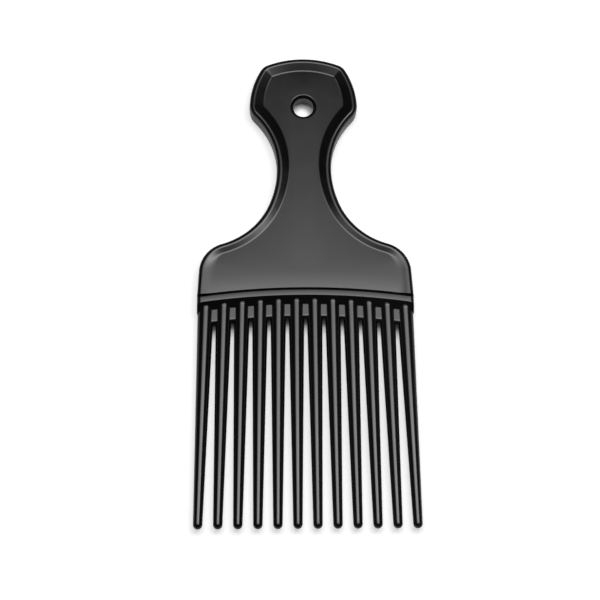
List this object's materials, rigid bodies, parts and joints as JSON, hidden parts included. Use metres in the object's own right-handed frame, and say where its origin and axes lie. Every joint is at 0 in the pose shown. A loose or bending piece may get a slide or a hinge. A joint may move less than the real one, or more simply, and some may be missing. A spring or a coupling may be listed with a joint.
{
  "type": "afro pick",
  "caption": "Moulded hair pick: a waisted flat handle with a raised rim and a hanging hole, a raised root bar, and a row of long round tapered teeth that fan out a little.",
  "frame": {"origin": "under the middle of the pick's bounding box, on the surface that its back lies on", "axes": "+Y along the pick from the tooth tips towards the crown of the handle, +Z out of its front face, +X to the right seen from the front with the handle up"},
  "size_m": [0.075, 0.1699, 0.0075],
  "materials": {
    "plastic": "black moulded plastic, polished"
  },
  "bodies": {
    "root": {"pommel_panel": "plastic", "pommel_rim": "plastic", "head_panel": "plastic", "head_rim_left": "plastic", "head_rim_right": "plastic", "root_bar": "plastic", "tooth_01": "plastic", "tooth_02": "plastic", "tooth_03": "plastic", "tooth_04": "plastic", "tooth_05": "plastic", "tooth_06": "plastic", "tooth_07": "plastic", "tooth_08": "plastic", "tooth_09": "plastic", "tooth_10": "plastic", "tooth_11": "plastic", "tooth_12": "plastic", "web_01": "plastic", "web_02": "plastic", "web_03": "plastic", "web_04": "plastic", "web_05": "plastic", "web_06": "plastic", "web_07": "plastic", "web_08": "plastic", "web_09": "plastic", "web_10": "plastic", "web_11": "plastic"}
  },
  "joints": []
}
